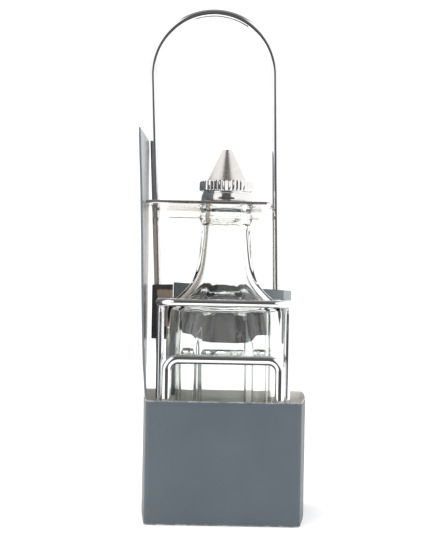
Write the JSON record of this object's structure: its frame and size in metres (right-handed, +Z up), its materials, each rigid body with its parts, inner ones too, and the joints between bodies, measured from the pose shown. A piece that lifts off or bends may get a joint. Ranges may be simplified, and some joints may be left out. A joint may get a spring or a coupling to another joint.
{
  "type": "oil bottle in wire carrier",
  "caption": "Clear glass oil bottle with eight flat sides and a conical screw pouring cap, in a chromed wire carrier with a tall arched handle and an open grey card sleeve.",
  "frame": {"origin": "middle of the bounding box, on the surface that the sleeve stands on", "axes": "+Z up along the bottle, -Y towards the front, where the low guard is; the tall panel is at -X on the sleeve and the handle at +Y"},
  "size_m": [0.0843, 0.0824, 0.2564],
  "materials": {
    "chrome_wire": "bright chrome plating on round steel wire",
    "plate_chrome": "bright chrome plating on sheet steel",
    "cap_chrome": "chromed, knurled ring over a smooth skirt",
    "cone_steel": "satin steel, brushed round the cone",
    "gasket_rubber": "pale food-safe seal",
    "clear_glass": "clear pressed glass, green at the thick edges",
    "card_grey": "matt blue-grey card, pale grey inside",
    "card_dark": "matt dark grey card"
  },
  "bodies": {
    "sleeve": {"sleeve_wrap": "card_grey", "sleeve_floor": "card_grey", "side_panel": "card_grey", "back_band": "card_grey", "band_flap": "card_dark"},
    "carrier": {"handle_hoop": "chrome_wire", "hinge_crossbar": "chrome_wire", "crossbar_cap_left": "chrome_wire", "crossbar_cap_right": "chrome_wire", "upper_ring": "chrome_wire", "ring_leg_left": "chrome_wire", "ring_leg_right": "chrome_wire", "front_guard": "chrome_wire", "rear_guard": "chrome_wire", "base_frame": "chrome_wire", "base_rail_left": "chrome_wire", "base_rail_right": "chrome_wire"},
    "neck_plate": {"neck_plate": "plate_chrome", "hinge_knuckle_left": "plate_chrome", "hinge_knuckle_right": "plate_chrome"},
    "bottle": {"bottle_glass": "clear_glass"},
    "cap_insert": {"pour_cone": "cone_steel", "cap_gasket": "gasket_rubber"},
    "cap_ring": {"cap_ring": "cap_chrome"}
  },
  "joints": [
    {"name": "carrier_lift", "type": "slide", "parent": "sleeve", "child": "carrier", "axis": [0, 0, 1], "range_m": [0, 0.06]},
    {"name": "neck_plate_swing", "type": "hinge", "parent": "carrier", "child": "neck_plate", "pos_m": [-0.0056, 0.03873, 0.1542], "axis": [-1, 0, 0], "range_deg": [0, 80]},
    {"name": "bottle_lift", "type": "slide", "parent": "carrier", "child": "bottle", "axis": [0, 0, 1], "range_m": [0, 0.024]},
    {"name": "cap_rise", "type": "slide", "parent": "bottle", "child": "cap_insert", "axis": [0, 0, 1], "range_m": [0, 0.0061]},
    {"name": "cap_turn", "type": "hinge", "parent": "cap_insert", "child": "cap_ring", "pos_m": [0.0005, -0.00323, 0.1587], "axis": [0, 0, 1], "range_deg": [0, 720]}
  ],
  "couplings": [
    {"joint": "cap_rise", "follows": "cap_turn", "m_per_rad": 0.00047746}
  ]
}
